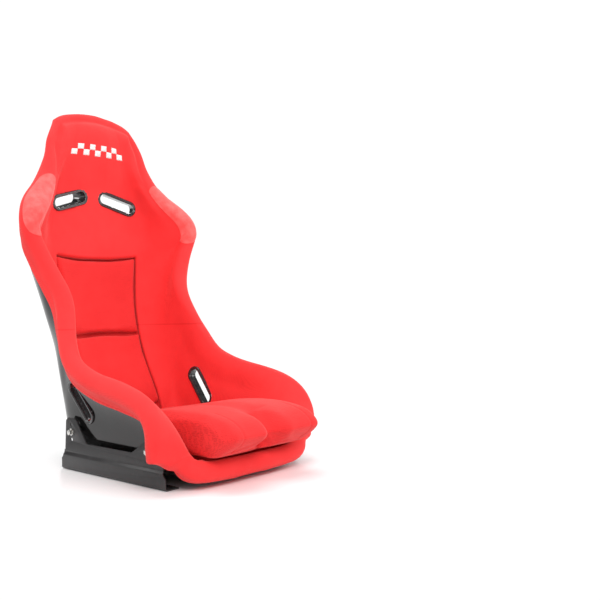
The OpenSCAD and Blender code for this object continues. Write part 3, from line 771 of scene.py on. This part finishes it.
def puff(obj, voxel, pressure, cap, pinned):
    """Even remesh, then foam pressure under the fabric as a cloth simulation; cap limits each move."""
    remesh = obj.modifiers.new("even", "REMESH")
    remesh.mode = "VOXEL"
    remesh.voxel_size = voxel
    apply_modifiers(obj)
    start = coordinates(obj.data)
    held = obj.vertex_groups.new(name="held")
    held.add(np.nonzero(pinned(start / MM))[0].tolist(), 1.0, "REPLACE")
    cloth = obj.modifiers.new("cloth", "CLOTH")
    cloth.settings.quality = 6
    cloth.settings.mass = 0.3
    cloth.settings.tension_stiffness = 25
    cloth.settings.compression_stiffness = 25
    cloth.settings.bending_stiffness = 1.5
    cloth.settings.use_pressure = True
    cloth.settings.uniform_pressure_force = pressure
    cloth.settings.vertex_group_mass = held.name
    cloth.settings.effector_weights.gravity = 0
    cloth.point_cache.frame_start = 1
    cloth.point_cache.frame_end = FRAMES
    for number in range(1, FRAMES + 1):
        bpy.context.scene.frame_set(number)
    apply_modifiers(obj)
    bpy.context.scene.frame_set(1)
    moved = coordinates(obj.data) - start
    size = np.linalg.norm(moved, axis=1, keepdims=True)
    share = cap * np.tanh(size / cap) / np.maximum(size, 1e-9)
    set_coordinates(obj.data, start + moved * share)
    smoother = obj.modifiers.new("even", "SMOOTH")
    smoother.factor = 0.5
    smoother.iterations = 3
    finer = obj.modifiers.new("finer", "SUBSURF")
    finer.levels = finer.render_levels = 1
    apply_modifiers(obj)
    obj.data.polygons.foreach_set("use_smooth", [True] * len(obj.data.polygons))


def pad_solid(s0, s1, t0, t1, low, high, count, name):
    """Closed block between two heights over the bucket surface."""
    s, t = np.meshgrid(np.linspace(s0, s1, count), np.linspace(t0, t1, count), indexing="ij")
    placed = level(s, t)
    points = np.vstack([at(placed, t, high(s, t)).reshape(-1, 3),
                        at(placed, t, low(s, t)).reshape(-1, 3)])
    return new_object(name, points, closed_block(grid_faces(count, count), count * count), INSERT)


PAD_LOW = BASE_T + STRIP_T + 0.5
PAD_EDGE_T = INSERT_T - 0.003


def make_loose_pad(node, body, s0, s1):
    """Loose pad on the back: crowned, with edges that roll down to the seams around it."""
    gap = 0.035
    middle, half = (s0 + s1) / 2, (s1 - s0) / 2 - gap

    def high(s, t):
        edge = np.minimum((1 - np.abs(t) / PAD_EDGE_T) * 8, (1 - np.abs(s - middle) / half) * half * 10)
        return PAD_LOW + 13 + 6.5 * np.sqrt(1 - (1 - np.clip(edge, 0, 1)) ** 2)

    def low(s, t):
        return PAD_LOW + 0 * s

    obj = pad_solid(middle - half, middle + half, -PAD_EDGE_T, PAD_EDGE_T, low, high, 90,
                    node + "_cushion")
    front = at(middle, 0, PAD_LOW + 3)
    direction = inward(middle, 0)
    puff(obj, 0.004, 2.5, 0.004, lambda p: (p - front) @ direction < 0)
    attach(obj, body)
    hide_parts(node)


HALF_W, TOP_Z, REACH = 159, 150, 336
END_ROUND = 30


def cushion_outline(x):
    """Outline of the seat cushion in y and z at one x; the two thigh lobes stand out at the front."""
    edge = float(smooth((HALF_W - abs(x)) / 24))
    lobe = float(smooth(abs(x) / 44)) * (0.75 + 0.25 * edge)
    low = 37 + 28 * float(smooth((abs(x) - 102) / 20)) + 0.0175 * max(abs(x) - 126, 0) ** 2
    front = -REACH + 42 * (1 - lobe)
    back = 185 - 20 * (1 - edge)
    top = TOP_Z + 8 * lobe - 6 * (1 - edge)
    return np.array([
        [136, low], [back - 5, low + 28 * edge], [back, max(low + 12, 84)], [back - 3, top - 54],
        [back - 15, top - 46], [100, top - 38], [0, top - 22], [-100, top - 6], [-180, top], [-240, top - 2],
        [front + 42, top - 11], [front + 14, top - 26], [front, top - 44], [front + 8, 100], [front + 30, 84],
        [-268, max(68, low)], [-222, max(67, low)], [-176, low]])


def round_through(points, steps):
    """Closed curve through the points, with the given number of steps between neighbours."""
    n = len(points)
    out = []
    for i in range(n):
        p0, p1, p2, p3 = (points[(i + k) % n] for k in (-1, 0, 1, 2))
        for f in np.linspace(0, 1, steps, endpoint=False):
            out.append(0.5 * (2 * p1 + (p2 - p0) * f + (2 * p0 - 5 * p1 + 4 * p2 - p3) * f * f
                              + (3 * p1 - p0 - 3 * p2 + p3) * f ** 3))
    return np.array(out)


def make_seat_cushion():
    """Seat cushion with two thigh lobes, a groove between them at the front, and its sewn panels."""
    half = HALF_W * np.sin(np.linspace(-math.pi / 2, math.pi / 2, 61))
    rings = []
    for x in half:
        ring = round_through(cushion_outline(x), 4)
        blunt = END_ROUND * (1 - math.sqrt(1 - float(np.clip(1 - (HALF_W - abs(x)) / END_ROUND, 0, 1)) ** 2))
        core = ring.mean(0)
        away = ring - core
        size = np.linalg.norm(away, axis=1, keepdims=True)
        rings.append(np.column_stack([np.full(len(ring), x), core + away * (1 - 0.6 * blunt / size)]))
    points = np.array(rings).reshape(-1, 3)
    count = 72
    faces = [list(f[::-1]) for f in grid_faces(len(half), count, wrap=True)]
    mesh_faces = faces + [list(range(count)),
                          [(len(half) - 1) * count + j for j in range(count - 1, -1, -1)]]
    obj = new_object("seat_cushion_body", points, mesh_faces, INSERT)
    fix = bmesh.new()
    fix.from_mesh(obj.data)
    bmesh.ops.recalc_face_normals(fix, faces=fix.faces)
    fix.to_mesh(obj.data)
    fix.free()
    puff(obj, 0.005, 3.0, 0.006, lambda p: (p[:, 2] < 74) | (p[:, 1] > 165))
    co = coordinates(obj.data) / MM
    normals = np.array([v.normal for v in obj.data.vertices])
    depth = cushion_seams(co)
    set_coordinates(obj.data, (co - normals * depth[:, None]) * MM)
    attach(obj, CUSHION)
    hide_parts("seat_cushion")


SIDE_SEAM_X = 112


def cushion_seams(p):
    """Depth of the sewn lines: a side panel at either edge, and the middle groove at the front."""
    x, y = np.abs(p[:, 0]), p[:, 1]
    front = smooth((-232 - y) / 30)
    side = seam(x - SIDE_SEAM_X, 1.8, 1.5) * front
    groove = seam(x, 3.0, 4.0) * smooth((-238 - y) / 26)
    return side + groove


# ---- Shoulder patches ----
CAP_LENGTH = 68
FACE_SCALE = 0.0031


def skin_point(s, w, side, lift):
    """Point of the cover near the rim: w millimetres past the start of the cap, or before it if below 0."""
    full = float(edge_thickness(s))
    if w <= 0:
        t = side * (1 + w * FACE_SCALE)
        return at(s, t, float(padding(s, t)) + lift)
    e, n, d = outer(s, side), inward(s, side), outwards(s, side)
    a = math.pi / 2 - math.pi * w / CAP_LENGTH
    middle, half = (full - ROLL_T) / 2, (full + ROLL_T) / 2 + lift
    return e + d * (ROLL_OUT + lift) * math.cos(a) + n * (middle + half * math.sin(a))


PATCH_S, PATCH_W = (14.75, 2.15), (14, 38)


def rounded(a, b):
    """Maps a square onto a shape between a circle and a square."""
    k = 0.38
    return a * math.sqrt(1 - k * b * b), b * math.sqrt(1 - k * a * a)


def make_patch(name, side):
    """Suede patch sewn over the shoulder, a thin closed skin that follows the roll."""
    count = 44
    layers = []
    for lift in (1.5, 0.2):
        layer = []
        for a in np.linspace(-1, 1, count):
            for b in np.linspace(-1, 1, count):
                x, y = rounded(a, b)
                edge = min(1 - abs(a), 1 - abs(b))
                raised = lift
                if lift > 1:
                    raised = 0.5 + (lift - 0.5) * smooth(edge / 0.09) - seam((edge - 0.13) * 60, 1.4, 0.5)
                s, w = PATCH_S[0] + PATCH_S[1] * x, PATCH_W[0] + PATCH_W[1] * y
                layer.append(skin_point(s, w, side, float(raised)))
        layers.append(np.array(layer))
    skin, base = layers
    faces = grid_faces(count, count)
    normals = vertex_normals(skin, faces)
    if (normals * (skin - base)).sum() < 0:
        faces = faces[:, ::-1]
        normals = -normals
    wave = soft_wave(skin)[:, None] * normals
    obj = solid_between("shoulder_patch_" + name + "_suede", faces, skin + wave, base + wave, normals,
                        SUEDE)
    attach(obj, SEAT)
    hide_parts("shoulder_patch_" + name)
    return obj


# ---- Chequered emblems ----
CELL = (21, 16)


def make_emblem(node, s_mid, height, sense):
    """Embroidered chequered strip, nine cells by two, lying on the cover."""
    v = station(np.array(s_mid))
    top = math.radians(v[6])
    rate = float(station(np.array(s_mid + 0.5))[1] - station(np.array(s_mid - 0.5))[1])
    count = 7
    points, faces = [], []
    for i in range(-4, 5):
        for j in (0, 1):
            if (i + j) % 2:
                continue
            xs = i * CELL[0] + (CELL[0] / 2 - 0.15) * np.linspace(-1, 1, count)
            rise_z = (j - 0.5) * CELL[1] + (CELL[1] / 2 - 0.15) * np.linspace(-1, 1, count)
            s = s_mid + rise_z / rate
            t = np.arcsin(np.clip(xs / v[2] * math.sin(top), -1, 1)) / top
            ss, tt = np.meshgrid(s, t, indexing="ij")
            in_from_edge = 1 - np.abs(np.linspace(-1, 1, count))
            rim = np.minimum.outer(in_from_edge, in_from_edge)
            rise = 0.4 + 1.0 * smooth(rim / 0.4)
            wave = soft_wave(at(ss, tt, height(ss, tt)).reshape(-1, 3)).reshape(ss.shape)
            skin = at(ss, tt, height(ss, tt) + sense * (rise + wave))
            base = at(ss, tt, height(ss, tt) - sense * 0.8)
            quads = grid_faces(count, count)[:, ::int(sense)]
            faces.append(closed_block(quads, count * count) + sum(len(p) for p in points))
            points += [skin.reshape(-1, 3), base.reshape(-1, 3)]
    obj = new_object(node + "_cells", np.vstack(points), np.vstack(faces), WHITE)
    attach(obj, SEAT)
    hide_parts(node)


# ---- Brackets and fasteners: the CAD's shapes with their edges broken ----
def soften_node(node, material, radius):
    """Copy of a CAD node with small bevels along its sharp edges."""
    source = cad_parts[node]
    mesh = source.data.copy()
    mesh.materials.clear()
    mesh.materials.append(material)
    obj = bpy.data.objects.new(node + "_part", mesh)
    bpy.context.scene.collection.objects.link(obj)
    fix = bmesh.new()
    fix.from_mesh(mesh)
    bmesh.ops.remove_doubles(fix, verts=fix.verts, dist=1e-6)
    bmesh.ops.dissolve_limit(fix, angle_limit=math.radians(0.5), verts=fix.verts, edges=fix.edges)
    fix.to_mesh(mesh)
    fix.free()
    bevel = obj.modifiers.new("edges", "BEVEL")
    bevel.width = radius * MM
    bevel.segments = 2
    bevel.limit_method = "ANGLE"
    bevel.angle_limit = math.radians(40)
    apply_modifiers(obj)
    obj.data.polygons.foreach_set("use_smooth", [True] * len(obj.data.polygons))
    obj.data.set_sharp_from_angle(angle=math.radians(35))
    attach(obj, SEAT)
    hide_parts(node)


def finish_node(node, material):
    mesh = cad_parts[node].data
    mesh.materials.clear()
    mesh.materials.append(material)


# ---- Stage, lights and camera ----
def make_stage():
    n = Nodes("studio_floor")
    grain = n.noise(3, 3)
    colour = n.mix(n.range(grain, 0.3, 0.7, 0.0, 0.3), rgb(0.90, 0.90, 0.90), rgb(0.86, 0.86, 0.865))
    floor_material = n.finish(Base_Color=colour, Roughness=0.6)
    distance = n.add("VectorMath", {0: n.place()}, operation="LENGTH").outputs["Value"]
    glow = n.add("Emission", {"Color": rgb(1, 1, 1), "Strength": 1.05}).outputs[0]
    far = n.range(distance, 0.25, 0.85)
    blend = n.add("MixShader", {0: far, 1: n.shader.outputs[0], 2: glow}).outputs[0]
    n.tree.links.new(blend, n.tree.nodes["Material Output"].inputs["Surface"])
    side = 30000
    floor = new_object("studio_floor", [(-side, -side, -0.5), (side, -side, -0.5), (side, side, -0.5),
                                        (-side, side, -0.5)], [(0, 1, 2, 3)], floor_material, flat=True)
    world = bpy.data.worlds.new("studio")
    bpy.context.scene.world = world
    world.use_nodes = True
    tree = world.node_tree
    background = tree.nodes["Background"]
    seen, lit, reflected = 1.05, 0.55, 0.07
    path = tree.nodes.new("ShaderNodeLightPath")
    strength = lit
    for rays, value in (("Is Glossy Ray", reflected), ("Is Camera Ray", seen)):
        choose = tree.nodes.new("ShaderNodeMix")
        choose.inputs[3].default_value = value
        tree.links.new(path.outputs[rays], choose.inputs[0])
        if isinstance(strength, float):
            choose.inputs[2].default_value = strength
        else:
            tree.links.new(strength, choose.inputs[2])
        strength = choose.outputs[0]
    tree.links.new(strength, background.inputs["Strength"])
    background.inputs["Color"].default_value = rgb(1, 1, 1)


def softbox(name, place, target, size, power):
    """Rectangular area light at a place in metres, turned to a target."""
    data = bpy.data.lights.new(name, "AREA")
    data.shape = "RECTANGLE"
    data.size, data.size_y = size
    data.energy = power
    light = bpy.data.objects.new(name, data)
    bpy.context.scene.collection.objects.link(light)
    light.location = place
    light.rotation_euler = (Vector(target) - Vector(place)).to_track_quat("-Z", "Y").to_euler()


def make_lights():
    middle = (0, 0.12, 0.45)
    softbox("key", (-1.5, -2.4, 2.3), middle, (1.8, 1.4), 70)
    softbox("fill", (2.4, -1.6, 1.5), middle, (1.6, 1.6), 24)
    softbox("front", (0.35, -4.0, 0.35), (0.08, 0.33, 0.69), (1.2, 1.2), 24)
    softbox("top", (0, 0.2, 3.0), middle, (2.2, 2.2), 45)
    softbox("rear_strip_left", (1.5, 2.2, 1.5), middle, (0.35, 1.8), 22)
    softbox("rear_strip_right", (-2.2, 1.5, 1.6), middle, (0.35, 1.8), 22)


VIEW_AZIMUTH, VIEW_ELEVATION, VIEW_ROLL = -39.29, -0.69, -1.35
VIEW_DISTANCE, VIEW_TARGET = 2.0338, Vector((0, 0.1375, 0.4163))
FOCAL_SHARE = 775.1 / 600
SENSOR = 36
OFF_CENTRE = (300 - 139.26) / 600
SHIFT_SHARE = 0.5
RAISED = -0.0036


def make_camera():
    """Camera at the photographed viewpoint; the off-centre framing is half shift and half a small turn."""
    a, e = math.radians(VIEW_AZIMUTH), math.radians(VIEW_ELEVATION)
    away = Vector((math.sin(a) * math.cos(e), -math.cos(a) * math.cos(e), math.sin(e)))
    data = bpy.data.cameras.new("camera")
    data.sensor_width = SENSOR
    data.lens = FOCAL_SHARE * SENSOR
    data.shift_x = OFF_CENTRE * SHIFT_SHARE
    data.shift_y = RAISED
    camera = bpy.data.objects.new("camera", data)
    bpy.context.scene.collection.objects.link(camera)
    camera.location = VIEW_TARGET + away * VIEW_DISTANCE
    turn = math.atan(OFF_CENTRE * (1 - SHIFT_SHARE) / FOCAL_SHARE)
    look = away.to_track_quat("Z", "Y").to_matrix().to_4x4()
    look = look @ Matrix.Rotation(math.radians(VIEW_ROLL), 4, "Z") @ Matrix.Rotation(-turn, 4, "Y")
    camera.rotation_euler = look.to_euler()
    bpy.context.scene.camera = camera


# ---- Build ----
make_trims(make_cover(), make_shell())
make_loose_pad("lumbar_pad", LUMBAR, 8.8, LUMBAR_S)
make_loose_pad("back_pad", BACK, LUMBAR_S, CREASE_S)
make_seat_cushion()
for side_name, side_sign in (("left", 1), ("right", -1)):
    make_patch(side_name, side_sign)
    soften_node("side_bracket_" + side_name, POWDER, 0.7)
make_emblem("front_emblem", 18.4, face_height, 1)
make_emblem("rear_emblem", 18.5, lambda s, t: 0 * s - ROLL_T, -1)
soften_node("bracket_bolts", ZINC, 0.35)
for fixed in ("spring_washers", "flat_washers", "shell_nuts"):
    finish_node(fixed, ZINC)
for strips in ("seat_fastener_strips", "back_fastener_strips"):
    finish_node(strips, TAPE)
make_stage()
make_lights()
make_camera()
bpy.context.scene.view_settings.view_transform = "Standard"
